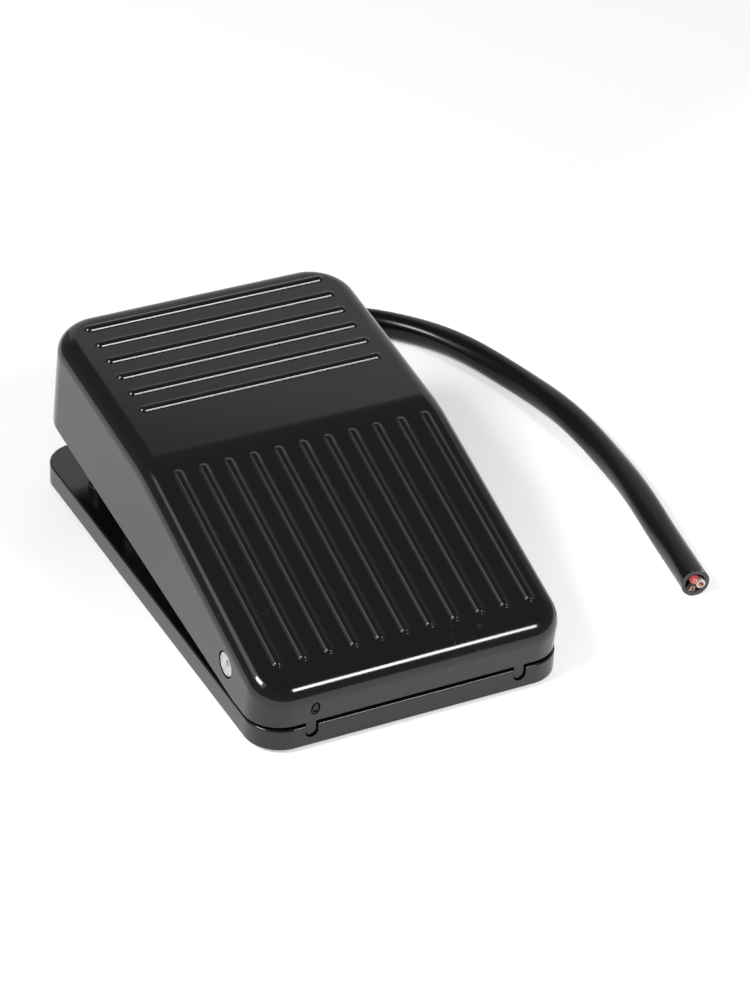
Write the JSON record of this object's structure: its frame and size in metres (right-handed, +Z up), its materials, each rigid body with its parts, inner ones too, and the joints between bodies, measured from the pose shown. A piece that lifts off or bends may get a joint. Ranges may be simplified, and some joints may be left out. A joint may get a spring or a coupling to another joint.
{
  "type": "foot pedal switch",
  "caption": "Small momentary foot pedal: a ribbed black treadle hinged on a low base over a snap-action switch, with springs, rubber feet and a short cut cable.",
  "frame": {"origin": "on the floor, under the middle of the base", "axes": "+Z up, +Y from the toe end to the end where the cable leaves, +X to the right"},
  "size_m": [0.1083, 0.1356, 0.0366],
  "materials": {
    "black_plastic": "satin moulded",
    "cable_pvc": "satin flexible sheath",
    "rubber": "matte",
    "switch_plastic": "matte moulded phenolic",
    "plunger_plastic": "semi-gloss",
    "red_core": "semi-gloss insulation",
    "white_core": "semi-gloss insulation",
    "black_core": "semi-gloss insulation",
    "pin_steel": "cut bright steel",
    "spring_steel": "drawn bright steel",
    "screw_steel": "zinc plated",
    "brass": "stamped",
    "copper_strip": "stamped copper alloy"
  },
  "bodies": {
    "base": {"base_housing": "black_plastic", "bottom_plate": "black_plastic", "cable_clamp": "black_plastic", "cable_jacket": "cable_pvc", "clamp_screw_left": "screw_steel", "clamp_screw_right": "screw_steel", "cut_core_black": "black_core", "cut_core_red": "red_core", "cut_core_white": "white_core", "inner_wire_black": "black_core", "inner_wire_red": "red_core", "inner_wire_white": "white_core", "pivot_pin": "pin_steel", "plate_screw_front_left": "screw_steel", "plate_screw_front_right": "screw_steel", "plate_screw_rear_left": "screw_steel", "plate_screw_rear_right": "screw_steel", "return_spring_left": "spring_steel", "return_spring_right": "spring_steel", "rubber_foot_front_left": "rubber", "rubber_foot_front_right": "rubber", "rubber_foot_rear_left": "rubber", "rubber_foot_rear_right": "rubber", "strain_relief": "cable_pvc", "switch_case": "switch_plastic", "switch_cover": "switch_plastic", "switch_screw_front": "screw_steel", "switch_screw_rear": "screw_steel", "terminal_common": "brass", "terminal_normally_closed": "brass", "terminal_normally_open": "brass"},
    "pedal": {"pedal_cover": "black_plastic"},
    "lever": {"switch_lever": "spring_steel"},
    "plunger": {"switch_plunger": "plunger_plastic"},
    "blade": {"snap_blade": "copper_strip"}
  },
  "joints": [
    {"name": "pedal_hinge", "type": "hinge", "parent": "base", "child": "pedal", "pos_m": [0, -0.0356, 0.0113], "axis": [1, 0, 0], "range_deg": [-7, 0], "stiffness_Nm_per_rad": 4, "springref_deg": 4.53, "deforming": ["return_spring_left", "return_spring_right"]},
    {"name": "lever_hinge", "type": "hinge", "parent": "base", "child": "lever", "pos_m": [0, 0.019, 0.0225], "axis": [1, 0, 0], "range_deg": [0, 12]},
    {"name": "plunger_slide", "type": "slide", "parent": "base", "child": "plunger", "axis": [0, 0, 1], "range_m": [-0.0013, 0]},
    {"name": "blade_hinge", "type": "hinge", "parent": "base", "child": "blade", "pos_m": [0, 0.0144, 0.01425], "axis": [1, 0, 0], "range_deg": [0, 3.4]}
  ],
  "couplings": [
    {"joint": "lever_hinge", "follows": "pedal_hinge", "ratio": -1.71},
    {"joint": "plunger_slide", "follows": "pedal_hinge", "m_per_rad": 0.01064},
    {"joint": "blade_hinge", "follows": "pedal_hinge", "ratio": -0.484}
  ]
}
